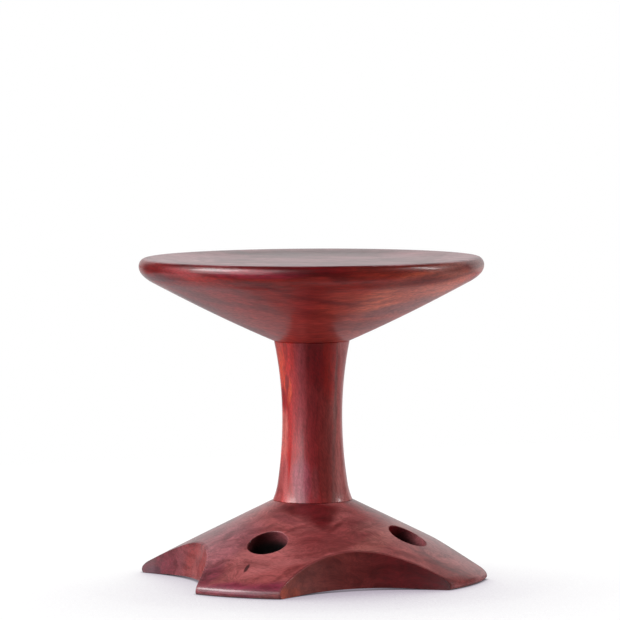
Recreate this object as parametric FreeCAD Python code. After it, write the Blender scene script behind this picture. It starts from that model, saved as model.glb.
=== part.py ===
import FreeCAD, Part
import math
import os

# Pedestal stool turned from dark red hardwood
# A dished round seat and a domed base are pulled onto a waisted column by a steel rod.
# Millimetres, +Z up. The origin is on the floor at the stool's centre.
# The base's scooped sides face X and Y, and its feet and holes lie on the diagonals.

# Whole stool
seat_radius = 230.0
base_radius = 234.8
base_height = 102.5
column_length = 213.4
seat_depth = 111.1

# Seat rim and dish
seat_shoulder_radius = 51.0
seat_flank_angle = 23.6
rim_slope_angle = 28.0
rim_blend_radius = 50.0
rim_blend_turn = 18.0
rim_lower_radius = 16.5
rim_upper_radius = 11.0
rim_upper_turn = 55.0
crest_radius = 8.0
seat_dish_depth = 4.0
seat_dish_width = 75.0

# Column outline
column_top_radius = 50.4
column_waist_radius = 40.1
column_waist_height = 111.0
column_foot_radius = 53.0
column_flare_height = 23.0
column_flare_width = 6.3
column_edge_chamfer = 0.8

# Base outline
base_shoulder_radius = 53.6
base_flank_angle = 26.3
nose_slope_angle = 28.2
nose_blend_radius = 26.0
nose_blend_turn = 22.0
nose_upper_radius = 8.0
nose_lower_radius = 4.5
base_dish_depth = 7.5
foot_land_width = 16.0

# Scooped sides of the base
scoop_count = 4
scoop_radius = 200.0
scoop_reach = 166.0
scoop_lean = 8.4
scoop_edge_radius = 0.6

# Slanted holes of the base
hole_radius = 26.8
hole_circle_radius = 138.3
hole_edge_radius = 0.9

# Tenons and mortises
tenon_radius = 30.0
tenon_length = 40.0
tenon_chamfer = 1.5
mortise_clearance = 0.2
mortise_end_gap = 2.0

# Dowels that keep the seat and the base from turning on the column
dowel_radius = 4.0
dowel_length = 30.0
dowel_circle_radius = 39.0
dowel_chamfer = 1.0
dowel_clearance = 0.1
dowel_end_gap = 1.0
dowel_angles = (0.0, 180.0)

# Tie rod
rod_radius = 6.0
rod_chamfer = 1.0
rod_clearance = 1.0
rod_tail = 3.0
rod_tip_gap = 4.0

# Threaded insert in the seat
insert_radius = 9.0
insert_length = 25.0
insert_flange_radius = 13.0
insert_flange_thickness = 2.5
insert_clearance = 0.1
insert_end_gap = 3.0

# Washers and nut under the base
washer_radius = 22.0
washer_thickness = 3.0
washer_clearance = 0.5
spring_washer_radius = 10.5
spring_washer_thickness = 2.6
spring_washer_slit = 1.5
nut_width = 19.0
nut_height = 10.8
nut_chamfer = 1.2
pocket_radius = 25.0
pocket_depth = 26.0

# Shares, counts and angles
flank_pull_shares = (0.44, 0.22)
probe_shares = (0.1, 0.5, 0.9)
chamfer_angle = 30.0
hexagon_sides = 6
quarter_turn = 90.0
half_turn = 180.0
full_turn = 360.0

# How far a cut runs past a face, and how near an edge is to a skin that it lies on
overrun = 10.0
touch_slack = 0.02

# Levels above the floor
seat_seam = base_height + column_length
stool_height = seat_seam + seat_depth
waist_level = base_height + column_waist_height
base_mortise_floor = base_height - tenon_length - mortise_end_gap
seat_mortise_roof = seat_seam + tenon_length + mortise_end_gap
pocket_roof = base_dish_depth + pocket_depth
washer_level = pocket_roof - washer_thickness
spring_washer_level = washer_level - spring_washer_thickness
nut_level = spring_washer_level - nut_height
rod_tail_level = nut_level - rod_tail
insert_top = seat_mortise_roof + insert_length
rod_tip_level = insert_top - rod_tip_gap

UP = FreeCAD.Vector(0, 0, 1)
TIP_AXIS = FreeCAD.Vector(0, 1, 0)
ORIGIN = FreeCAD.Vector(0, 0, 0)


def along(heading, length):
    """A step in the plane y = 0, with the heading in degrees up from +X."""
    angle = math.radians(heading)
    return FreeCAD.Vector(length * math.cos(angle), 0, length * math.sin(angle))


def arc_step(radius, heading, turn):
    """From the start to the end of an arc that leaves at a heading and turns left."""
    chord = 2 * radius * math.sin(math.radians(abs(turn)) / 2)
    return along(heading + turn / 2, chord)


class Outline:
    """A turned outline, drawn from the axis out and back to the axis."""

    def __init__(self, radius, height):
        self.start = FreeCAD.Vector(radius, 0, height)
        self.place = self.start
        self.heading = 0.0
        self.edges = []

    def add(self, curve, place):
        self.edges.append(curve.toShape())
        self.place = place

    def line_to(self, radius, height):
        place = FreeCAD.Vector(radius, 0, height)
        step = place - self.place
        self.heading = math.degrees(math.atan2(step.z, step.x))
        self.add(Part.LineSegment(self.place, place), place)

    def arc(self, radius, turn):
        """An arc that carries on smoothly. It turns left, or right where turn is negative."""
        middle = self.place + arc_step(radius, self.heading, turn / 2)
        place = self.place + arc_step(radius, self.heading, turn)
        self.add(Part.Arc(self.place, middle, place), place)
        self.heading += turn

    def arc_to(self, radius, height):
        """The one arc that carries on smoothly and ends at a point."""
        step = FreeCAD.Vector(radius, 0, height) - self.place
        turn = 2 * (math.degrees(math.atan2(step.z, step.x)) - self.heading)
        self.arc(step.Length / 2 / math.sin(math.radians(abs(turn)) / 2), turn)

    def arc_into(self, radius, height, heading):
        """The one arc that ends at a point with a heading."""
        step = FreeCAD.Vector(radius, 0, height) - self.place
        turn = 2 * (heading - math.degrees(math.atan2(step.z, step.x)))
        self.heading = heading - turn
        self.arc(step.Length / 2 / math.sin(math.radians(abs(turn)) / 2), turn)

    def curve_to(self, radius, height, first_heading, last_heading, pulls):
        """A smooth curve between two headings, each with its share of the chord."""
        place = FreeCAD.Vector(radius, 0, height)
        chord = (place - self.place).Length
        first_handle = self.place + along(first_heading, pulls[0] * chord)
        last_handle = place - along(last_heading, pulls[1] * chord)
        curve = Part.BezierCurve()
        curve.setPoles([self.place, first_handle, last_handle, place])
        self.add(curve, place)
        self.heading = last_heading

    def solid(self):
        self.add(Part.LineSegment(self.place, self.start), self.start)
        face = Part.Face(Part.Wire(self.edges))
        return face.revolve(ORIGIN, UP, full_turn)


def rod(radius, low, high, x=0.0):
    """An upright cylinder between two levels."""
    return Part.makeCylinder(radius, high - low, FreeCAD.Vector(x, 0, low), UP)


def chamfered_rod(radius, low, high, chamfer, x=0.0):
    """An upright cylinder with both ends chamfered."""
    inner = radius - chamfer
    low_cone = Part.makeCone(inner, radius, chamfer, FreeCAD.Vector(x, 0, low), UP)
    high_cone = Part.makeCone(radius, inner, chamfer, FreeCAD.Vector(x, 0, high - chamfer), UP)
    middle = rod(radius, low + chamfer, high - chamfer, x)
    return middle.fuse([low_cone, high_cone]).removeSplitter()


def turned(shape, angle):
    """A copy turned about the stool's axis."""
    copy = shape.copy()
    copy.rotate(ORIGIN, UP, angle)
    return copy


def around(shape, angles):
    return [turned(shape, angle) for angle in angles]


def dowel_holes(seam):
    """Holes for the dowels across a seam, a little wider and deeper than the dowels."""
    reach = dowel_length / 2 + dowel_end_gap
    hole = rod(dowel_radius + dowel_clearance, seam - reach, seam + reach, dowel_circle_radius)
    return around(hole, dowel_angles)


def seat():
    """The seat, with its mortise, the pocket of its insert and its dowel holes."""
    blend = arc_step(rim_blend_radius, rim_slope_angle, rim_blend_turn)
    lower_heading = rim_slope_angle + rim_blend_turn
    lower_turn = quarter_turn - lower_heading
    lower = arc_step(rim_lower_radius, lower_heading, lower_turn)
    upper = arc_step(rim_upper_radius, quarter_turn, rim_upper_turn)
    crest_turn = quarter_turn - rim_upper_turn
    crest = arc_step(crest_radius, quarter_turn + rim_upper_turn, crest_turn)
    rim_start = FreeCAD.Vector(seat_radius, 0, stool_height - upper.z - crest.z) - lower - blend
    dish_turn = 2 * math.degrees(math.atan2(seat_dish_depth, seat_dish_width))
    dish_bend_radius = seat_dish_width / 2 / math.sin(math.radians(dish_turn))

    outline = Outline(0, seat_seam)
    outline.line_to(seat_shoulder_radius, seat_seam)
    outline.curve_to(rim_start.x, rim_start.z, seat_flank_angle, rim_slope_angle, flank_pull_shares)
    outline.arc(rim_blend_radius, rim_blend_turn)
    outline.arc(rim_lower_radius, lower_turn)
    outline.arc(rim_upper_radius, rim_upper_turn)
    outline.arc(crest_radius, crest_turn)
    outline.arc(dish_bend_radius, dish_turn)
    outline.arc(dish_bend_radius, -dish_turn)
    outline.line_to(0, outline.place.z)
    blank = outline.solid()

    mortise = rod(tenon_radius + mortise_clearance, seat_seam - overrun, seat_mortise_roof)
    recess_top = seat_mortise_roof + insert_flange_thickness
    recess = rod(insert_flange_radius + insert_clearance, seat_seam, recess_top)
    insert_hole = rod(insert_radius + insert_clearance, seat_seam, insert_top + insert_end_gap)
    return blank.cut([mortise, recess, insert_hole] + dowel_holes(seat_seam))


def column():
    """The waisted column, with a round tenon at each end and a bore for the rod."""
    flare_radius = column_foot_radius - column_flare_width
    flare_level = base_height + column_flare_height
    sweep = math.atan2(waist_level - flare_level, column_waist_radius - flare_radius)
    flare_heading = 2 * math.degrees(sweep) - quarter_turn

    outline = Outline(0, base_height)
    outline.line_to(column_foot_radius - column_edge_chamfer, base_height)
    outline.line_to(column_foot_radius, base_height + column_edge_chamfer)
    outline.arc_into(flare_radius, flare_level, flare_heading)
    outline.arc_into(column_waist_radius, waist_level, quarter_turn)
    outline.arc_to(column_top_radius, seat_seam - column_edge_chamfer)
    outline.line_to(column_top_radius - column_edge_chamfer, seat_seam)
    outline.line_to(0, seat_seam)
    shaft = outline.solid()

    tenons = chamfered_rod(
        tenon_radius, base_height - tenon_length, seat_seam + tenon_length, tenon_chamfer
    )
    bore = rod(rod_radius + rod_clearance, 0, stool_height)
    holes = dowel_holes(base_height) + dowel_holes(seat_seam)
    return shaft.fuse(tenons).removeSplitter().cut([bore] + holes)


def base_blank():
    """The turned base before its scoops and holes are cut, dished underneath."""
    nose_turn = quarter_turn - nose_slope_angle - nose_blend_turn
    outline = Outline(0, base_dish_depth)
    outline.arc_to(base_radius - nose_lower_radius - foot_land_width, 0)
    outline.line_to(base_radius - nose_lower_radius, 0)
    outline.arc(nose_lower_radius, quarter_turn)
    outline.arc(nose_upper_radius, nose_turn)
    outline.arc(nose_blend_radius, nose_blend_turn)
    nose_top = outline.place
    outline.curve_to(
        base_shoulder_radius,
        base_height,
        half_turn - nose_slope_angle,
        half_turn - base_flank_angle,
        flank_pull_shares[::-1],
    )
    outline.line_to(0, base_height)
    return outline.solid(), nose_top


def tipped_rod(radius, place, tip):
    """A long cylinder through a place, tipped towards +X by an angle in degrees."""
    half_length = base_height + base_radius
    shape = Part.makeCylinder(radius, 2 * half_length, UP * -half_length, UP)
    shape.rotate(ORIGIN, TIP_AXIS, tip)
    shape.translate(place)
    return shape


def scoop():
    """The leaning cylinder that hollows the base's +X side."""
    distance = scoop_reach + scoop_radius / math.cos(math.radians(scoop_lean))
    return tipped_rod(scoop_radius, FreeCAD.Vector(distance, 0, 0), -scoop_lean)


def slanted_hole(nose_top):
    """A round hole square to the base's flank, on the +X side."""
    fall = base_height - nose_top.z
    run = nose_top.x - base_shoulder_radius
    mouth_level = base_height - (hole_circle_radius - base_shoulder_radius) * fall / run
    mouth = FreeCAD.Vector(hole_circle_radius, 0, mouth_level)
    return tipped_rod(hole_radius, mouth, math.degrees(math.atan2(fall, run)))


def lies_on(edge, skin):
    """Whether an edge lies on a skin, tried at a few places along the edge."""
    span = edge.LastParameter - edge.FirstParameter
    for share in probe_shares:
        place = Part.Vertex(edge.valueAt(edge.FirstParameter + share * span))
        if skin.distToShape(place)[0] > touch_slack:
            return False
    return True


def cut_edges(shape, tools):
    """The curved edges that the tools left on a shape, without the seams of round faces."""
    skins = [tool.Shells[0] for tool in tools]
    curved = [
        edge
        for edge in shape.Edges
        if not edge.Degenerated and not isinstance(edge.Curve, Part.Line)
    ]
    return [edge for edge in curved if any(lies_on(edge, skin) for skin in skins)]


def base():
    """The base, scooped between its feet, with a slanted hole through each foot."""
    blank, nose_top = base_blank()
    step = full_turn / scoop_count
    scoop_angles = [step * number for number in range(scoop_count)]
    foot_angles = [angle + step / 2 for angle in scoop_angles]
    scoops = around(scoop(), scoop_angles)
    holes = around(slanted_hole(nose_top), foot_angles)
    shaped = turned(blank, foot_angles[0]).cut(scoops + holes)
    shaped = shaped.makeFillet(scoop_edge_radius, cut_edges(shaped, scoops))
    shaped = shaped.makeFillet(hole_edge_radius, cut_edges(shaped, holes))
    mortise = rod(tenon_radius + mortise_clearance, base_mortise_floor, base_height + overrun)
    bore = rod(rod_radius + rod_clearance, 0, base_height)
    pocket = rod(pocket_radius, -overrun, pocket_roof)
    return shaped.cut([mortise, bore, pocket] + dowel_holes(base_height))


def tie_rod():
    """The steel rod from the nut under the base to the insert in the seat."""
    return chamfered_rod(rod_radius, rod_tail_level, rod_tip_level, rod_chamfer)


def seat_insert():
    """The flanged insert in the seat that the rod screws into."""
    flange_top = seat_mortise_roof + insert_flange_thickness
    body = rod(insert_radius, seat_mortise_roof, insert_top)
    flange = rod(insert_flange_radius, seat_mortise_roof, flange_top)
    bore = rod(rod_radius, seat_seam, stool_height)
    return body.fuse(flange).removeSplitter().cut(bore)


def ring(radius, level, thickness):
    """A flat washer that fits the rod."""
    bore = rod(rod_radius + washer_clearance, 0, stool_height)
    return rod(radius, level, level + thickness).cut(bore)


def spring_washer():
    """A split washer."""
    whole = ring(spring_washer_radius, spring_washer_level, spring_washer_thickness)
    slit = Part.makeBox(spring_washer_radius, spring_washer_slit, spring_washer_thickness)
    slit.translate(FreeCAD.Vector(0, -spring_washer_slit / 2, spring_washer_level))
    return whole.cut(slit)


def nut_rounding(outer, inner):
    """The round shape that trims a nut's corners."""
    low = Part.makeCone(inner, outer, nut_chamfer, UP * nut_level, UP)
    middle = rod(outer, nut_level + nut_chamfer, nut_level + nut_height - nut_chamfer)
    high = Part.makeCone(outer, inner, nut_chamfer, UP * (nut_level + nut_height - nut_chamfer), UP)
    return middle.fuse([low, high])


def nut():
    """A hexagon nut with chamfered corners on both faces."""
    corner_radius = nut_width / 2 / math.cos(math.radians(half_turn / hexagon_sides))
    corners = []
    for number in range(hexagon_sides + 1):
        corner = along(full_turn * number / hexagon_sides, corner_radius)
        corners.append(FreeCAD.Vector(corner.x, corner.z, nut_level))
    prism = Part.Face(Part.makePolygon(corners)).extrude(UP * nut_height)
    inner = corner_radius - nut_chamfer / math.tan(math.radians(chamfer_angle))
    rounding = nut_rounding(corner_radius, inner)
    bore = rod(rod_radius, 0, stool_height)
    return prism.common(rounding).cut(bore)


def dowel(seam, angle):
    """One dowel, centred on a seam."""
    half = dowel_length / 2
    shape = chamfered_rod(dowel_radius, seam - half, seam + half, dowel_chamfer, dowel_circle_radius)
    return turned(shape, angle)


def pieces():
    yield "seat", seat()
    yield "column", column()
    yield "base", base()
    yield "seat_insert", seat_insert()
    yield "tie_rod", tie_rod()
    yield "base_washer", ring(washer_radius, washer_level, washer_thickness)
    yield "spring_washer", spring_washer()
    yield "base_nut", nut()
    for number, angle in enumerate(dowel_angles, 1):
        yield "seat_dowel_%d" % number, dowel(seat_seam, angle)
        yield "base_dowel_%d" % number, dowel(base_height, angle)


os.makedirs("parts", exist_ok=True)
for name, shape in pieces():
    solids = shape.Solids
    print(name, "solids", len(solids), "valid", shape.isValid(), "volume", round(shape.Volume))
    solids[0].exportStep("parts/" + name + ".step")
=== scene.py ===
import bpy
import math
from mathutils import Matrix, Vector

# Pedestal stool of dark red hardwood on a white studio floor
# Metres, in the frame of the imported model. Angles are in degrees unless a name says otherwise.

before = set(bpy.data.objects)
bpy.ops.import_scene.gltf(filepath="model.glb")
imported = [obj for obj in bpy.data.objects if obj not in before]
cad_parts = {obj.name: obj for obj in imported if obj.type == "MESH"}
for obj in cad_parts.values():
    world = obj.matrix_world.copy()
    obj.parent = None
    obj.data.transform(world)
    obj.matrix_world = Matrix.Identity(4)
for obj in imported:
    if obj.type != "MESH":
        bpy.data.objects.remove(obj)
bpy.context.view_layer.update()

# Camera, fitted to the photograph
PHOTO_AZIMUTH = -19.6
CAMERA_DISTANCE = 5.32698
CAMERA_HEIGHT = 0.712139
CAMERA_SIDESTEP = 0.0022
CAMERA_DIP_RADIANS = 0.0667
CAMERA_ROLL_RADIANS = 0.0055
FOCAL_PIXELS = 4005.36
PHOTO_PIXELS = 620.0
SENSOR_MILLIMETRES = 36.0

UP = Vector((0.0, 0.0, 1.0))


def heading(azimuth):
    """The level direction from the stool to a viewer at an azimuth."""
    angle = math.radians(azimuth)
    return Vector((math.sin(angle), -math.cos(angle), 0.0))


def rightwards(azimuth):
    """The level direction that a viewer at an azimuth sees to the right."""
    angle = math.radians(azimuth)
    return Vector((math.cos(angle), math.sin(angle), 0.0))


def link(thing, name):
    """A new object for some data, in the scene."""
    holder = bpy.data.objects.new(name, thing)
    bpy.context.scene.collection.objects.link(holder)
    return holder


def axes_to_matrix(right, up, back, place):
    """An object matrix from its own X, Y and Z directions and its place."""
    turn = Matrix((right, up, back)).transposed()
    return Matrix.Translation(place) @ turn.to_4x4()


def photo_camera():
    """The camera at the photograph's viewpoint, with its long lens and slight roll."""
    right = rightwards(PHOTO_AZIMUTH)
    toward = heading(PHOTO_AZIMUTH)
    look = -toward * math.cos(CAMERA_DIP_RADIANS) - UP * math.sin(CAMERA_DIP_RADIANS)
    up = right.cross(look)
    roll = Matrix.Rotation(CAMERA_ROLL_RADIANS, 3, look)
    place = toward * CAMERA_DISTANCE - right * CAMERA_SIDESTEP + UP * CAMERA_HEIGHT

    data = bpy.data.cameras.new("photo_camera")
    data.sensor_width = SENSOR_MILLIMETRES
    data.lens = FOCAL_PIXELS / PHOTO_PIXELS * SENSOR_MILLIMETRES
    camera = link(data, "photo_camera")
    camera.matrix_world = axes_to_matrix(roll @ right, roll @ up, -look, place)
    bpy.context.scene.camera = camera


# Materials

class Tree:
    """A node tree that is built by calls, each of which adds a node or a few."""

    def __init__(self, tree):
        tree.nodes.clear()
        self.tree = tree

    def add(self, kind, inputs, **settings):
        """A node with its settings, and with a value or a link for each named input."""
        node = self.tree.nodes.new(kind)
        for name, value in settings.items():
            setattr(node, name, value)
        for name, value in inputs.items():
            if isinstance(value, bpy.types.NodeSocket):
                self.tree.links.new(value, node.inputs[name])
            else:
                node.inputs[name].default_value = value
        return node

    def math(self, operation, first, second=0.0, third=0.0):
        inputs = {0: first, 1: second, 2: third}
        return self.add("ShaderNodeMath", inputs, operation=operation).outputs[0]

    def vector(self, operation, first, second=(0.0, 0.0, 0.0)):
        inputs = {0: first, 1: second}
        return self.add("ShaderNodeVectorMath", inputs, operation=operation).outputs[0]

    def length(self, vector):
        node = self.add("ShaderNodeVectorMath", {0: vector}, operation="LENGTH")
        return node.outputs["Value"]

    def dot(self, first, second):
        inputs = {0: first, 1: tuple(second)}
        node = self.add("ShaderNodeVectorMath", inputs, operation="DOT_PRODUCT")
        return node.outputs["Value"]

    def split(self, vector):
        return self.add("ShaderNodeSeparateXYZ", {0: vector}).outputs

    def join(self, x, y, z):
        return self.add("ShaderNodeCombineXYZ", {0: x, 1: y, 2: z}).outputs[0]

    def noise(self, vector, scale=1.0, detail=2.0, roughness=0.5):
        inputs = {"Vector": vector, "Scale": scale, "Detail": detail, "Roughness": roughness}
        return self.add("ShaderNodeTexNoise", inputs).outputs

    def grain(self, place, scales, detail=2.0, roughness=0.5):
        """Noise that has its own scale along each axis."""
        stretched = self.vector("MULTIPLY", place, scales)
        return self.noise(stretched, detail=detail, roughness=roughness)["Fac"]

    def bump(self, height, strength, distance):
        inputs = {"Height": height, "Strength": strength, "Distance": distance}
        return self.add("ShaderNodeBump", inputs).outputs[0]

    def place(self):
        """The place on the piece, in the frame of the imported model."""
        return self.add("ShaderNodeTexCoord", {}).outputs["Object"]

    def normal(self):
        return self.add("ShaderNodeNewGeometry", {}).outputs["Normal"]

    def rays(self):
        return self.add("ShaderNodeLightPath", {}).outputs

    def blend(self, share, first, second, kind="MIX"):
        """Two colours mixed by a share, or with another blend type."""
        inputs = {0: share, 6: first, 7: second}
        node = self.add("ShaderNodeMix", inputs, data_type="RGBA", blend_type=kind)
        return node.outputs[2]

    def span(self, value, low, high, first=0.0, last=1.0):
        """A value taken smoothly from one range to another."""
        inputs = {"Value": value, 1: low, 2: high, 3: first, 4: last}
        node = self.add("ShaderNodeMapRange", inputs, interpolation_type="SMOOTHSTEP")
        return node.outputs[0]

    def ring(self, value, start, full, fading, over):
        """1 where a value lies inside two soft limits, and 0 beyond them."""
        rising = self.span(value, start, full)
        falling = self.span(value, fading, over, 1.0, 0.0)
        return self.math("MULTIPLY", rising, falling)

    def ramp(self, value, stops):
        """A colour ramp from (place, colour) stops."""
        node = self.add("ShaderNodeValToRGB", {"Fac": value})
        elements = node.color_ramp.elements
        while len(elements) < len(stops):
            elements.new(1.0)
        for element, (place, colour) in zip(elements, stops):
            element.position = place
            element.color = (*colour, 1.0)
        return node.outputs[0]


def new_material(name):
    material = bpy.data.materials.new(name)
    material.use_nodes = True
    return material, Tree(material.node_tree)


def finish_material(tree, shader):
    tree.add("ShaderNodeOutputMaterial", {"Surface": shader.outputs[0]})


# Timber. Colours are linear light, and places are as the photograph's viewer sees them:
# U is the distance to the right, and V the height along the picture. A spot is U, V, half
# width, half height, lean, colour and share. A stray is the size of a noise, how far it moves
# a place along each axis, and its seed. Fibres and lines have a scale along each axis.

SPOT_EDGE = 0.8
STREAK_EDGE = 1.2
KNOT_EDGE = 0.6
DARK_STREAK = (0.48, 0.30, 0.32)
STREAK_SPAN = (0.34, 0.58)
FIBRE_SPAN = (0.3, 0.7)
FIBRE_LIGHT = (0.80, 1.28)
MOTTLE_SCALES = (0.14, 0.14, 0.14)
MOTTLE_SPAN = (0.36, 0.64)
SATIN_ROUGHNESS = (0.39, 0.33)
BARE_ROUGHNESS = 0.3
WOOD_BUMP = (0.08, 0.0002)

# The seat, at whose middle the viewer looks down by SEAT_DIP
SEAT_DIP = 3.1
SEAT_TONE = (0.40, 0.036, 0.026)
SEAT_SPOTS = (
    (-0.170, 0.385, 0.100, 0.060, -25.0, (0.33, 0.010, 0.004), 1.0),
    (-0.075, 0.332, 0.070, 0.026, -35.0, (0.43, 0.016, 0.004), 0.9),
    (0.000, 0.368, 0.045, 0.026, 0.0, (0.34, 0.030, 0.025), 0.8),
    (0.105, 0.372, 0.100, 0.045, 25.0, (0.50, 0.048, 0.020), 1.0),
    (0.135, 0.384, 0.070, 0.020, 20.0, (0.90, 0.190, 0.090), 0.95),
    (0.175, 0.4030, 0.060, 0.008, 12.0, (0.22, 0.040, 0.022), 0.95),
    (0.113, 0.3600, 0.050, 0.006, 14.0, (0.27, 0.050, 0.045), 0.8),
    (0.005, 0.330, 0.032, 0.016, 0.0, (0.40, 0.046, 0.036), 0.8),
    (0.020, 0.392, 0.150, 0.011, 0.0, (0.27, 0.014, 0.009), 0.85),
    (-0.150, 0.397, 0.060, 0.008, -8.0, (0.33, 0.022, 0.018), 0.8),
)
RIM_SPOTS = (
    # in U and the height
    (-0.080, 0.4225, 0.200, 0.0095, 0.0, (0.115, 0.002, 0.004), 1.0),
    (-0.075, 0.4165, 0.060, 0.0060, 0.0, (0.24, 0.012, 0.028), 0.9),
    (-0.165, 0.4165, 0.036, 0.0060, 0.0, (0.26, 0.036, 0.040), 0.85),
    (-0.198, 0.4065, 0.036, 0.0055, 0.0, (0.13, 0.006, 0.010), 0.9),
    (0.120, 0.4230, 0.080, 0.0085, 0.0, (0.15, 0.014, 0.010), 0.9),
    (-0.218, 0.4200, 0.026, 0.012, 0.0, (0.19, 0.014, 0.014), 0.9),
    (0.182, 0.4190, 0.034, 0.0070, 0.0, (0.21, 0.062, 0.050), 0.9),
    (0.212, 0.4220, 0.016, 0.008, 0.0, (0.115, 0.020, 0.018), 0.9),
)
SEAT_STREAKS = (
    (-0.058, 0.3875, 0.036, 0.0024, -18.0, (0.21, 0.014, 0.014), 0.65),
    (0.014, 0.3694, 0.038, 0.0022, -8.0, (0.19, 0.012, 0.012), 0.70),
    (0.070, 0.3690, 0.022, 0.0020, 10.0, (0.22, 0.018, 0.014), 0.60),
    (-0.014, 0.3570, 0.016, 0.0026, -12.0, (0.20, 0.012, 0.012), 0.55),
    (0.036, 0.3970, 0.014, 0.0045, 0.0, (0.14, 0.008, 0.008), 0.60),
    (0.100, 0.4010, 0.050, 0.0020, 3.0, (0.20, 0.020, 0.012), 0.55),
    (-0.110, 0.3950, 0.050, 0.0018, -9.0, (0.20, 0.012, 0.012), 0.55),
)
# The top's colours are partly the wood, partly painted sheen; its pale end spots are sheen
SEAT_TOP_SPOTS_AND_SHEEN = (
    (0.000, 0.4320, 0.120, 0.0050, 0.0, (0.080, 0.000, 0.002), 0.8),
    (-0.175, 0.4260, 0.055, 0.0060, 0.0, (0.360, 0.150, 0.170), 0.8),
    (0.165, 0.4270, 0.060, 0.0060, 0.0, (0.340, 0.120, 0.135), 0.8),
)
SEAT_TOP_DARK = (0.120, 0.006, 0.014)
SEAT_TOP_PALE_SHEEN = (0.290, 0.090, 0.105)
SEAT_TOP_FACING = (0.80, 0.97)
SEAT_SPOT_STRAY = (0.06, (0.03, 0.004, 0.0), (3.1, 1.7, 5.2))
SEAT_STREAK_STRAY = (0.03, (0.01, 0.004, 0.0), (2.2, 0.9, 1.6))
SEAT_LINE_STRAY = (0.05, (0.0, 0.007, 0.0), (0.4, 6.2, 2.2))
RIM_STRAY = (0.04, (0.03, 0.003, 0.0), (1.3, 4.9, 2.7))
CLOUD_STRAY = (0.05, (0.03, 0.008, 0.0), (6.4, 1.2, 0.8))
CLOUD_SCALES = (9.0, 34.0, 9.0)
CLOUD_SPAN = (0.36, 0.62)
SAG_MIDDLE = 0.052
SAG_CURVE = 0.86
SEAT_LINE_LENGTH = 0.090
SEAT_LINE_SPACING = 0.0095
SEAT_LINE_DEPTH = 0.15
SEAT_STREAK_SHARE = 0.66
SEAT_FIBRES = (60.0, 250.0, 700.0)
SEAT_MOTTLE = 0.10

# The column
# Partly the quartered wood, partly painted sheen: the mauve stop and the pinkish grey right edge
COLUMN_TONES_AND_SHEEN = (
    # share of the width from the left, colour
    (0.10, (0.58, 0.050, 0.042)),
    (0.17, (0.46, 0.024, 0.022)),
    (0.24, (0.44, 0.032, 0.032)),
    (0.34, (0.33, 0.042, 0.052)),
    (0.45, (0.245, 0.018, 0.022)),
    (0.56, (0.225, 0.018, 0.020)),
    (0.66, (0.220, 0.024, 0.022)),
    (0.78, (0.215, 0.034, 0.028)),
    (0.88, (0.290, 0.080, 0.076)),
)
COLUMN_WIDTH = 0.10
# Wood-coloured spots, with pink, mauve and grey spots of painted sheen at the foot and the edges
COLUMN_SPOTS_AND_SHEEN = (
    # in U and the height
    (-0.027, 0.135, 0.007, 0.050, 0.0, (0.31, 0.000, 0.000), 0.8),
    (-0.016, 0.130, 0.012, 0.030, 0.0, (0.31, 0.062, 0.092), 0.8),
    (-0.037, 0.292, 0.0035, 0.034, 3.0, (0.58, 0.026, 0.012), 0.85),
    (-0.036, 0.240, 0.007, 0.016, 0.0, (0.34, 0.000, 0.000), 1.0),
    (-0.037, 0.138, 0.005, 0.036, 0.0, (0.40, 0.090, 0.090), 0.9),
    (-0.046, 0.118, 0.006, 0.034, -4.0, (0.30, 0.060, 0.060), 0.95),
    (-0.0405, 0.285, 0.0030, 0.034, 8.0, (0.76, 0.060, 0.020), 0.85),
    (-0.037, 0.192, 0.006, 0.030, 0.0, (0.56, 0.130, 0.110), 0.95),
    (-0.0335, 0.262, 0.0018, 0.012, -3.0, (0.24, 0.012, 0.012), 0.8),
    (-0.0300, 0.247, 0.0024, 0.018, -3.0, (0.66, 0.070, 0.030), 0.9),
    (-0.0295, 0.300, 0.005, 0.026, 0.0, (0.62, 0.024, 0.020), 0.9),
    (0.024, 0.285, 0.012, 0.045, 0.0, (0.25, 0.004, 0.001), 0.8),
    (0.003, 0.128, 0.006, 0.022, 0.0, (0.235, 0.040, 0.044), 0.8),
    (0.004, 0.290, 0.012, 0.034, 4.0, (0.190, 0.004, 0.007), 0.8),
    (0.0295, 0.200, 0.0022, 0.120, -2.0, (0.150, 0.055, 0.050), 0.8),
    (0.020, 0.160, 0.010, 0.060, 0.0, (0.165, 0.022, 0.020), 0.7),
)
COLUMN_STRETCH = (1.0, 1.0, 0.35)
COLUMN_STRAY = (0.014, (0.008, 0.008, 0.0), (7.4, 2.3, 0.6))
COLUMN_LINES = (240.0, 80.0, 90.0)
COLUMN_STREAK_SHARE = 0.54
COLUMN_FIBRES = (900.0, 900.0, 160.0)
COLUMN_FIBRE_LEAN_RADIANS = 0.3
COLUMN_MOTTLE = 0.03

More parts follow.
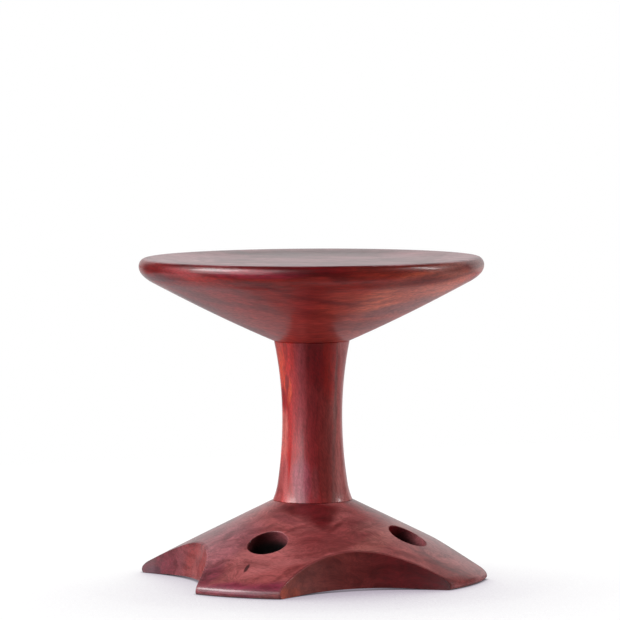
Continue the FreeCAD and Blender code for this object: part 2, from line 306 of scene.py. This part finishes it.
# The base, at whose middle the viewer looks down by BASE_DIP
BASE_DIP = 7.4
BASE_TONE = (0.262, 0.064, 0.064)
BASE_SPOTS = (
    (-0.160, 0.060, 0.070, 0.035, 30.0, (0.185, 0.034, 0.046), 0.8),
    (-0.115, 0.040, 0.050, 0.022, 25.0, (0.275, 0.084, 0.100), 0.8),
    (-0.060, 0.022, 0.048, 0.020, 12.0, (0.340, 0.098, 0.098), 0.8),
    (-0.048, 0.002, 0.036, 0.010, 20.0, (0.275, 0.060, 0.060), 0.7),
    (0.030, 0.052, 0.060, 0.018, 15.0, (0.165, 0.028, 0.030), 0.85),
    (0.085, 0.044, 0.050, 0.012, 28.0, (0.320, 0.105, 0.092), 0.8),
    (0.150, 0.022, 0.060, 0.016, -28.0, (0.310, 0.086, 0.082), 0.8),
    (0.078, 0.064, 0.022, 0.008, 10.0, (0.330, 0.110, 0.100), 0.7),
    (0.185, 0.000, 0.050, 0.009, -30.0, (0.150, 0.018, 0.018), 0.75),
    (0.075, 0.083, 0.030, 0.014, -25.0, (0.210, 0.016, 0.016), 0.7),
    (-0.032, 0.0745, 0.018, 0.006, -10.0, (0.140, 0.030, 0.035), 0.7),
    (0.000, 0.0885, 0.036, 0.010, 0.0, (0.088, 0.006, 0.008), 1.0),
    (0.008, 0.0760, 0.017, 0.013, 0.0, (0.092, 0.007, 0.009), 1.0),
    (-0.085, -0.0165, 0.070, 0.0085, 0.0, (0.180, 0.020, 0.046), 0.9),
    (-0.137, 0.0010, 0.022, 0.0120, 30.0, (0.150, 0.022, 0.040), 0.8),
)
BASE_STREAKS = (
    (-0.016, 0.0640, 0.024, 0.0022, 22.0, (0.110, 0.016, 0.018), 0.6),
    (0.030, 0.0640, 0.018, 0.0024, 38.0, (0.105, 0.014, 0.016), 0.6),
    (0.024, 0.0530, 0.006, 0.0024, 0.0, (0.090, 0.014, 0.016), 0.6),
    (0.060, 0.0600, 0.030, 0.0020, 24.0, (0.150, 0.028, 0.028), 0.6),
    (-0.106, 0.0560, 0.016, 0.0040, 30.0, (0.130, 0.034, 0.042), 0.6),
    (-0.094, 0.0380, 0.010, 0.0030, 35.0, (0.130, 0.034, 0.042), 0.5),
    (0.030, 0.0360, 0.050, 0.0022, 12.0, (0.140, 0.026, 0.026), 0.6),
    (-0.030, 0.0060, 0.030, 0.0022, 26.0, (0.150, 0.026, 0.026), 0.6),
    (0.170, 0.0140, 0.045, 0.0024, -28.0, (0.120, 0.036, 0.036), 0.6),
)
KNOT = (-0.086, 0.0105, 0.0020, 0.0060, -35.0, (0.02, 0.004, 0.006), 0.85)
BASE_SPOT_STRAY = (0.045, (0.035, 0.020, 0.0), (1.9, 8.2, 4.4))
BASE_STREAK_STRAY = (0.02, (0.008, 0.008, 0.0), (0.7, 3.2, 6.1))
SWIRL_STRAY = (0.07, (0.09, 0.09, 0.05), (5.5, 0.3, 2.6))
RIPPLE_STRAY = (0.02, (0.008, 0.008, 0.008), (2.5, 4.3, 9.6))
BASE_LINES = (12.0, 45.0, 80.0)
BASE_STREAK_SHARE = 0.64
BASE_FIBRES = (110.0, 420.0, 600.0)
BASE_MOTTLE = 0.12

# The base's scoops, whose faces cut deeper into the timber. Along their upper edge runs a band
# without wax, dull all round, which also carries painted shade to the right of ARRIS_START.
# A reach gives the distances at which a band starts, is full, fades and is over.
SCOOP_RADIUS = 0.200
SCOOP_REACH = 0.166
SCOOP_LEAN = 8.4
SCOOP_SPAN = (-0.235, 0.185)
SCOOP_SPOTS_AND_TIP_SHADE = (
    (-0.040, -0.0240, 0.024, 0.0080, 8.0, (0.27, 0.042, 0.020), 0.85),
    # painted shade at the left foot's tip
    (-0.214, 0.0080, 0.010, 0.0070, 0.0, (0.060, 0.006, 0.020), 0.8),
    (-0.155, 0.0150, 0.016, 0.0220, -20.0, (0.28, 0.040, 0.036), 0.6),
)
SCOOP_TONES = (
    # share of SCOOP_SPAN, colour
    (0.00, (0.085, 0.008, 0.020)),
    (0.08, (0.140, 0.016, 0.028)),
    (0.13, (0.190, 0.046, 0.054)),
    (0.20, (0.250, 0.042, 0.042)),
    (0.40, (0.250, 0.042, 0.042)),
    (0.47, (0.200, 0.036, 0.026)),
    (0.54, (0.155, 0.028, 0.023)),
    (0.66, (0.145, 0.022, 0.020)),
    (0.80, (0.120, 0.010, 0.012)),
    (1.00, (0.066, 0.002, 0.005)),
)
# painted shade of the scoops' rounded upper edge
ARRIS_SHADE_TONE = (0.130, 0.014, 0.016)
ARRIS_REACH = (0.0001, 0.0003, 0.0018, 0.0042)
ARRIS_START = (-0.12, -0.08)
ARRIS_SHADE_SHARE = 0.8
DULL_TIP = (-0.220, -0.190)

# The base's slanted holes, painted inside with shade and light: black deep down, dark on
# the left walls, and paler on the right walls, where light falls in
HOLE_RADIUS = 0.0268
HOLE_CIRCLE = 0.1383
HOLE_MOUTH_LEVEL = 0.0597
HOLE_LEAN = 26.7
HOLE_LEFT_SHADE_TONE = (0.090, 0.000, 0.002)
HOLE_RIGHT_LIT_TONE = (0.25, 0.056, 0.066)
HOLE_DEEP_SHADE_TONE = (0.002, 0.000, 0.000)
HOLE_DEPTHS = (0.003, 0.024)
HOLE_WALL_FACING = (-0.75, 0.45)
DRILLED_EDGE = (0.0003, 0.0010)
MOUTH_REACH = (-0.0002, 0.0001, 0.0012, 0.0022)

# The hidden hardware
METAL_PATCH_SCALE = 90.0
METAL_PATCH_SPAN = (0.35, 0.65)
METAL_WEAR_SPAN = (0.3, 0.7)
METAL_WEAR_ROUGHNESS = 0.12
METAL_MARKS = (60.0, 60.0, 2500.0)
METAL_BUMP = (0.1, 0.0001)
DOWEL_FLECKS = (900.0, 900.0, 120.0)
DOWEL_TONES = ((0.35, (0.26, 0.13, 0.06)), (0.6, (0.52, 0.33, 0.18)))
DOWEL_SPAN = (0.3, 0.7)
DOWEL_ROUGHNESS = (0.6, 0.5)
DOWEL_BUMP = (0.2, 0.0002)


def laid_place(tree):
    """The place on a piece, with X to the viewer's right, Y away and Z up."""
    inputs = {"Vector": tree.place(), "Rotation": (0.0, 0.0, math.radians(-PHOTO_AZIMUTH))}
    return tree.add("ShaderNodeMapping", inputs).outputs[0]


def picture_place(tree, laid, dip):
    """U and V of a place, for a viewer who looks down by an angle."""
    x, y, z = tree.split(laid)
    angle = math.radians(dip)
    drop = tree.math("MULTIPLY", y, math.sin(angle))
    return tree.join(x, tree.math("MULTIPLY_ADD", z, math.cos(angle), drop), 0.0)


def stray(tree, place, size, reach, seed):
    """A place moved about by soft noise, as timber strays from straight lines."""
    noise = tree.noise(tree.vector("ADD", place, seed), 1.0 / size)["Color"]
    shift = tree.vector("SUBTRACT", noise, (0.5, 0.5, 0.5))
    return tree.vector("ADD", place, tree.vector("MULTIPLY", shift, reach))


def paint_spot(tree, tone, picture, spot, edge):
    """A leaning ellipse of another colour, with a soft edge of a share of its radius."""
    u, v, half_width, half_height, lean, colour, share = spot
    inputs = {
        "Vector": picture,
        "Location": (u, v, 0.0),
        "Rotation": (0.0, 0.0, math.radians(lean)),
        "Scale": (half_width, half_height, 1.0),
    }
    inside = tree.add("ShaderNodeMapping", inputs, vector_type="TEXTURE").outputs[0]
    mask = tree.span(tree.length(inside), 1.0 - edge / 2, 1.0 + edge / 2, share, 0.0)
    return tree.blend(mask, tone, (*colour, 1.0))


def paint_spots(tree, tone, picture, spots, edge=SPOT_EDGE):
    for spot in spots:
        tone = paint_spot(tree, tone, picture, spot, edge)
    return tone


def growth_streaks(tree, lines, roughness, share):
    """Dark growth lines, as shares of DARK_STREAK, from a place scaled across the grain."""
    bands = tree.noise(lines, detail=3.0, roughness=roughness)["Fac"]
    return tree.span(bands, *STREAK_SPAN, share, 0.0)


def waxed_wood(tree, tone, laid, streaks, fibre_scales, mottle, bare=0.0):
    """Dark streaks, fibres and mottling on a tone, under satin wax that can be worn bare."""
    tone = tree.blend(streaks, tone, (*DARK_STREAK, 1.0), "MULTIPLY")
    fibre_place = tree.vector("MULTIPLY", laid, fibre_scales)
    fibres = tree.noise(fibre_place, roughness=0.6)["Fac"]
    mottles = tree.grain(fibre_place, MOTTLE_SCALES, detail=3.0, roughness=0.6)
    mottling = tree.span(mottles, *MOTTLE_SPAN, 1.0 - mottle, 1.0 + mottle)
    light = tree.math("MULTIPLY", tree.span(fibres, *FIBRE_SPAN, *FIBRE_LIGHT), mottling)
    inputs = {0: tone, "Scale": light}
    tone = tree.add("ShaderNodeVectorMath", inputs, operation="SCALE").outputs[0]
    height = tree.math("SUBTRACT", tree.math("MULTIPLY", fibres, 0.5), streaks)
    normal = tree.bump(height, *WOOD_BUMP)
    satin = tree.span(fibres, *FIBRE_SPAN, *SATIN_ROUGHNESS)
    shader = tree.add("ShaderNodeBsdfPrincipled", {
        "Base Color": tone,
        "Roughness": tree.math("MULTIPLY_ADD", bare, BARE_ROUGHNESS, satin),
        "IOR": 1.5,
        "Coat Weight": 0.35,
        "Coat Roughness": 0.13,
        "Normal": normal,
    })
    finish_material(tree, shader)


def seat_wood():
    """Flat-sawn boards, with growth lines that sag in long level arcs under the seat."""
    material, tree = new_material("seat_wood")
    laid = laid_place(tree)
    picture = picture_place(tree, laid, SEAT_DIP)
    roamed = stray(tree, picture, *SEAT_SPOT_STRAY)
    tone = paint_spots(tree, (*SEAT_TONE, 1.0), roamed, SEAT_SPOTS)
    x, y, z = tree.split(laid)
    rim = stray(tree, tree.join(x, z, 0.0), *RIM_STRAY)
    tone = paint_spots(tree, tone, rim, RIM_SPOTS)
    wavy = stray(tree, picture, *SEAT_STREAK_STRAY)
    tone = paint_spots(tree, tone, wavy, SEAT_STREAKS, STREAK_EDGE)

    u, v = tree.split(stray(tree, picture, *SEAT_LINE_STRAY))[:2]
    from_sag = tree.math("SUBTRACT", u, SAG_MIDDLE)
    sag = tree.math("MULTIPLY", tree.math("MULTIPLY", from_sag, from_sag), SAG_CURVE)
    layer = tree.math("SUBTRACT", v, sag)
    lines = tree.join(
        tree.math("DIVIDE", u, SEAT_LINE_LENGTH),
        tree.math("DIVIDE", layer, SEAT_LINE_SPACING),
        tree.math("DIVIDE", y, SEAT_LINE_DEPTH),
    )
    streaks = growth_streaks(tree, lines, roughness=0.55, share=SEAT_STREAK_SHARE)

    cloudy = stray(tree, laid, *CLOUD_STRAY)
    clouds = tree.grain(cloudy, CLOUD_SCALES, detail=3.0, roughness=0.6)
    cloud_share = tree.span(clouds, *CLOUD_SPAN)
    # the top, where it faces up, takes clouds of wood colour and painted sheen
    top_tone_and_sheen = tree.blend(cloud_share, (*SEAT_TOP_DARK, 1.0), (*SEAT_TOP_PALE_SHEEN, 1.0))
    top_tone_and_sheen = paint_spots(tree, top_tone_and_sheen, picture, SEAT_TOP_SPOTS_AND_SHEEN)
    facing_up = tree.split(tree.normal())[2]
    tone = tree.blend(tree.span(facing_up, *SEAT_TOP_FACING), tone, top_tone_and_sheen)
    waxed_wood(tree, tone, laid, streaks, SEAT_FIBRES, SEAT_MOTTLE)
    return material


def column_wood():
    """Straight upright grain, quartered from orange red at one side to maroon and brown, with
    painted sheen.
    """
    material, tree = new_material("column_wood")
    laid = laid_place(tree)
    drawn_out = tree.vector("MULTIPLY", laid, COLUMN_STRETCH)
    roamed = stray(tree, drawn_out, *COLUMN_STRAY)
    x = tree.split(roamed)[0]
    # quartered tones and spots, partly painted sheen in mauve, pink and grey
    tone = tree.ramp(tree.math("MULTIPLY_ADD", x, 1.0 / COLUMN_WIDTH, 0.5), COLUMN_TONES_AND_SHEEN)
    height = tree.split(laid)[2]
    tone = paint_spots(tree, tone, tree.join(x, height, 0.0), COLUMN_SPOTS_AND_SHEEN)
    lines = tree.vector("MULTIPLY", roamed, COLUMN_LINES)
    streaks = growth_streaks(tree, lines, roughness=0.6, share=COLUMN_STREAK_SHARE)
    inputs = {"Vector": laid, "Rotation": (0.0, COLUMN_FIBRE_LEAN_RADIANS, 0.0)}
    leaning = tree.add("ShaderNodeMapping", inputs).outputs[0]
    waxed_wood(tree, tone, leaning, streaks, COLUMN_FIBRES, COLUMN_MOTTLE)
    return material


def scoop_gap(tree, place):
    """How far a place on the base lies outside the nearest scoop's cylinder."""
    lean = math.radians(SCOOP_LEAN)
    centre = SCOOP_REACH + SCOOP_RADIUS / math.cos(lean)
    x, y, z = tree.split(tree.vector("ABSOLUTE", place))
    axis = tree.math("MULTIPLY_ADD", z, -math.tan(lean), centre)
    gaps = []
    for along, across in ((x, y), (y, x)):
        short = tree.math("MULTIPLY", tree.math("SUBTRACT", axis, along), math.cos(lean))
        gaps.append(tree.length(tree.join(short, across, 0.0)))
    return tree.math("SUBTRACT", tree.math("MINIMUM", *gaps), SCOOP_RADIUS)


def hole_place(tree, place):
    """How far a place on the base lies from the nearest hole's axis, and how deep in it."""
    lean = math.radians(HOLE_LEAN)
    x, y, z = tree.split(tree.vector("ABSOLUTE", place))
    outward = tree.math("MULTIPLY", tree.math("ADD", x, y), math.sqrt(0.5))
    sideways = tree.math("MULTIPLY", tree.math("SUBTRACT", x, y), math.sqrt(0.5))
    outward = tree.math("SUBTRACT", outward, HOLE_CIRCLE)
    rise = tree.math("SUBTRACT", z, HOLE_MOUTH_LEVEL)
    level_part = tree.math("MULTIPLY", outward, math.cos(lean))
    across = tree.math("MULTIPLY_ADD", rise, -math.sin(lean), level_part)
    level_part = tree.math("MULTIPLY", outward, -math.sin(lean))
    depth = tree.math("MULTIPLY_ADD", rise, -math.cos(lean), level_part)
    return tree.length(tree.join(across, sideways, 0.0)), depth


def hole_light_and_shade(tree, depth):
    """Painted light and shade in the holes: paler right walls, darker left ones, black deep down.
    """
    facing_right = tree.dot(tree.normal(), rightwards(PHOTO_AZIMUTH))
    left_share = tree.span(facing_right, *HOLE_WALL_FACING)
    wall_light_and_shade = tree.blend(left_share, (*HOLE_RIGHT_LIT_TONE, 1.0), (*HOLE_LEFT_SHADE_TONE, 1.0))
    return tree.blend(tree.span(depth, *HOLE_DEPTHS), wall_light_and_shade, (*HOLE_DEEP_SHADE_TONE, 1.0))


def base_wood():
    """Rosy figured timber with a maroon heart, darker where the scoops cut into it."""
    material, tree = new_material("base_wood")
    laid = laid_place(tree)
    picture = picture_place(tree, laid, BASE_DIP)
    roamed = stray(tree, picture, *BASE_SPOT_STRAY)
    tone = paint_spots(tree, (*BASE_TONE, 1.0), roamed, BASE_SPOTS)
    wavy = stray(tree, picture, *BASE_STREAK_STRAY)
    tone = paint_spots(tree, tone, wavy, BASE_STREAKS, STREAK_EDGE)

    place = tree.place()
    gap = scoop_gap(tree, place)
    arris = tree.ring(gap, *ARRIS_REACH)
    u = tree.split(roamed)[0]
    arris_shade_share = tree.span(u, *ARRIS_START, 0.0, ARRIS_SHADE_SHARE)
    # painted shade on the scoops' rounded upper edge, right of ARRIS_START
    tone = tree.blend(tree.math("MULTIPLY", arris, arris_shade_share), tone, (*ARRIS_SHADE_TONE, 1.0))
    low, high = SCOOP_SPAN
    across = tree.math("DIVIDE", tree.math("SUBTRACT", u, low), high - low)
    scooped = tree.span(gap, *ARRIS_REACH[:2], 1.0, 0.0)
    # the scoop spots include painted shade at the left foot's tip
    scoop_tone = paint_spots(tree, tree.ramp(across, SCOOP_TONES), wavy, SCOOP_SPOTS_AND_TIP_SHADE)
    tone = tree.blend(scooped, tone, scoop_tone)

    swirl = stray(tree, laid, *SWIRL_STRAY)
    swirl = stray(tree, swirl, *RIPPLE_STRAY)
    lines = tree.vector("MULTIPLY", swirl, BASE_LINES)
    streaks = growth_streaks(tree, lines, roughness=0.55, share=BASE_STREAK_SHARE)
    tone = paint_spot(tree, tone, picture, KNOT, KNOT_EDGE)

    radius, depth = hole_place(tree, place)
    outside = tree.math("SUBTRACT", radius, HOLE_RADIUS)
    drilled = tree.span(outside, *DRILLED_EDGE, 1.0, 0.0)
    # painted shade and light inside the holes, over the wood's tone
    tone = tree.blend(drilled, tone, hole_light_and_shade(tree, depth))
    mouth = tree.ring(outside, *MOUTH_REACH)
    tip = tree.math("MULTIPLY", tree.span(u, *DULL_TIP, 1.0, 0.0), scooped)
    edges = tree.math("MAXIMUM", arris, mouth)
    bare = tree.math("MAXIMUM", edges, tree.math("MAXIMUM", drilled, tip))
    waxed_wood(tree, tone, swirl, streaks, BASE_FIBRES, BASE_MOTTLE, bare)
    return material


def metal(name, tone, dull_tone, roughness):
    """A machined metal with faint turning marks and uneven plating."""
    material, tree = new_material(name)
    place = tree.place()
    patches = tree.noise(place, METAL_PATCH_SCALE, detail=3.0, roughness=0.6)["Fac"]
    marks = tree.grain(place, METAL_MARKS)
    dull_share = tree.span(patches, *METAL_PATCH_SPAN)
    worn = roughness + METAL_WEAR_ROUGHNESS
    shader = tree.add("ShaderNodeBsdfPrincipled", {
        "Base Color": tree.blend(dull_share, (*tone, 1.0), (*dull_tone, 1.0)),
        "Metallic": 1.0,
        "Roughness": tree.span(patches, *METAL_WEAR_SPAN, roughness, worn),
        "Normal": tree.bump(marks, *METAL_BUMP),
    })
    finish_material(tree, shader)
    return material


def beech(name):
    """Plain pale wood with short flecks along the dowel."""
    material, tree = new_material(name)
    flecks = tree.grain(tree.place(), DOWEL_FLECKS)
    shader = tree.add("ShaderNodeBsdfPrincipled", {
        "Base Color": tree.ramp(flecks, DOWEL_TONES),
        "Roughness": tree.span(flecks, *DOWEL_SPAN, *DOWEL_ROUGHNESS),
        "Normal": tree.bump(flecks, *DOWEL_BUMP),
    })
    finish_material(tree, shader)
    return material


def dress(material, *names):
    """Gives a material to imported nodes."""
    for name in names:
        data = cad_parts[name].data
        data.materials.clear()
        data.materials.append(material)


def dress_stool():
    dress(seat_wood(), "seat")
    dress(column_wood(), "column")
    dress(base_wood(), "base")
    dress(beech("dowel_wood"), "seat_dowel_1", "seat_dowel_2", "base_dowel_1", "base_dowel_2")
    steel = metal(
        "zinc_steel", tone=(0.62, 0.62, 0.60), dull_tone=(0.48, 0.49, 0.48), roughness=0.28,
    )
    dress(steel, "tie_rod", "base_washer", "spring_washer", "base_nut")
    brass = metal(
        "insert_brass", tone=(0.72, 0.52, 0.24), dull_tone=(0.55, 0.38, 0.17), roughness=0.25,
    )
    dress(brass, "seat_insert")


# Studio

FLOOR_SIZE = 3.0
FLOOR_PAINT = (0.48, 0.46, 0.485)
UNLIT_PAINT = (0.02, 0.02, 0.02)
UNLIT_SPAN = (0.20, 0.45)
SHADOW_REACH = 0.42
SHADOW_POWERS = (1.12, 1.29, 1.06)
SHADOW_BEARING = 188.0
SHADOW_TILT = 86.0
SHADOW_SAMPLES = 8
CONTACT_REACH = 0.005
GLOW_NEAR_SHARE = 0.95
GLOW_LEVEL = 1.06
GLOW_DISTANCES = (0.4, 1.1)
AIM_HEIGHT = 0.20
LAMP_DISTANCE = 5.0
BACKDROP_BEARING = 172.0
BACKDROP_SIDES = (43.0, 22.0)
BACKDROP_TOP = (20.0, 46.0)
BACKDROP_LEVEL = 0.72
ROOM_LEVEL = 0.02


def softbox(name, bearing, elevation, width, height, radiance):
    """A rectangular lamp aimed at the stool, with its width and height as angles.

    Bearings are counted to the viewer's right, and the radiance of plain white is 1.
    """
    level = heading(PHOTO_AZIMUTH + bearing)
    rise = math.radians(elevation)
    back = level * math.cos(rise) + UP * math.sin(rise)
    right = rightwards(PHOTO_AZIMUTH + bearing)
    data = bpy.data.lights.new(name, "AREA")
    data.shape = "RECTANGLE"
    data.size = 2 * LAMP_DISTANCE * math.tan(math.radians(width) / 2)
    data.size_y = 2 * LAMP_DISTANCE * math.tan(math.radians(height) / 2)
    data.energy = radiance * math.pi * data.size * data.size_y
    lamp = link(data, name)
    place = UP * AIM_HEIGHT + back * LAMP_DISTANCE
    lamp.matrix_world = axes_to_matrix(right, back.cross(right), back, place)
    return lamp


def studio_lamps():
    softbox("left_softbox", bearing=-74.0, elevation=38.0, width=28.0, height=26.0, radiance=9.0)
    softbox("left_spill", bearing=-58.0, elevation=28.0, width=56.0, height=60.0, radiance=2.6)
    softbox("right_strip", bearing=90.5, elevation=34.0, width=5.0, height=26.0, radiance=18.0)
    fill = softbox("right_fill", bearing=95.0, elevation=8.0, width=40.0, height=30.0, radiance=7.0)
    fill.visible_glossy = False


def studio_world():
    """A white backdrop behind the stool and a dim room on the viewer's side."""
    world = bpy.data.worlds.new("studio")
    world.use_nodes = True
    bpy.context.scene.world = world
    tree = Tree(world.node_tree)
    direction = tree.add("ShaderNodeTexCoord", {}).outputs["Generated"]
    toward_backdrop = heading(PHOTO_AZIMUTH + BACKDROP_BEARING)
    x, y, rise = tree.split(direction)
    level_length = tree.length(tree.join(x, y, 0.0))
    ahead = tree.math("DIVIDE", tree.dot(direction, toward_backdrop), level_length)
    side, near_side = (math.cos(math.radians(angle)) for angle in BACKDROP_SIDES)
    low_top, high_top = (math.sin(math.radians(angle)) for angle in BACKDROP_TOP)
    across = tree.span(ahead, side, near_side)
    below = tree.span(rise, low_top, high_top, BACKDROP_LEVEL, 0.0)
    level = tree.math("MULTIPLY_ADD", across, below, ROOM_LEVEL)
    white = (1.0, 1.0, 1.0, 1.0)
    backdrop = tree.add("ShaderNodeBackground", {"Color": white, "Strength": 1.0})
    room = tree.add("ShaderNodeBackground", {"Color": white, "Strength": level})
    mixed = tree.add("ShaderNodeMixShader", {
        0: tree.rays()["Is Camera Ray"],
        1: room.outputs[0],
        2: backdrop.outputs[0],
    })
    tree.add("ShaderNodeOutputWorld", {"Surface": mixed.outputs[0]})


def floor_light(tree):
    """The floor's white, dimmed by the stool's soft shadow and by each foot's contact."""
    tilt = math.radians(SHADOW_TILT)
    open_side = heading(PHOTO_AZIMUTH + SHADOW_BEARING) * math.sin(tilt) + UP * math.cos(tilt)
    inputs = {"Distance": SHADOW_REACH, "Normal": tree.join(*open_side)}
    shade = tree.add("ShaderNodeAmbientOcclusion", inputs, samples=SHADOW_SAMPLES)
    inputs = {"Distance": CONTACT_REACH}
    contact = tree.add("ShaderNodeAmbientOcclusion", inputs, samples=SHADOW_SAMPLES)
    return tree.join(*(
        tree.math("MULTIPLY", tree.math("POWER", shade.outputs["AO"], power), contact.outputs["AO"])
        for power in SHADOW_POWERS
    ))


def studio_floor():
    """A white floor that keeps a soft shadow round the feet.

    The camera sees a white glow. The stool gets the light of a duller paint, which is dark
    in its reflections where the floor lies in front of it.
    """
    half = FLOOR_SIZE / 2
    corners = [(-half, -half, 0.0), (half, -half, 0.0), (half, half, 0.0), (-half, half, 0.0)]
    data = bpy.data.meshes.new("floor")
    data.from_pydata(corners, [], [(0, 1, 2, 3)])
    floor = link(data, "floor")

    material, tree = new_material("floor_paint")
    rays = tree.rays()
    glow = tree.add("ShaderNodeEmission", {"Color": floor_light(tree), "Strength": GLOW_LEVEL})
    place = tree.place()
    toward_viewer = tree.dot(place, heading(PHOTO_AZIMUTH))
    unlit = tree.math("MULTIPLY", rays["Is Glossy Ray"], tree.span(toward_viewer, *UNLIT_SPAN))
    colour = tree.blend(unlit, (*FLOOR_PAINT, 1.0), (*UNLIT_PAINT, 1.0))
    paint = tree.add("ShaderNodeBsdfDiffuse", {"Color": colour})
    glow_share = tree.span(tree.length(place), *GLOW_DISTANCES, GLOW_NEAR_SHARE, 1.0)
    share = tree.math("MULTIPLY", rays["Is Camera Ray"], glow_share)
    mixed = tree.add("ShaderNodeMixShader", {0: share, 1: paint.outputs[0], 2: glow.outputs[0]})
    finish_material(tree, mixed)
    data.materials.append(material)


photo_camera()
dress_stool()
studio_lamps()
studio_world()
studio_floor()
bpy.context.scene.view_settings.view_transform = "Standard"
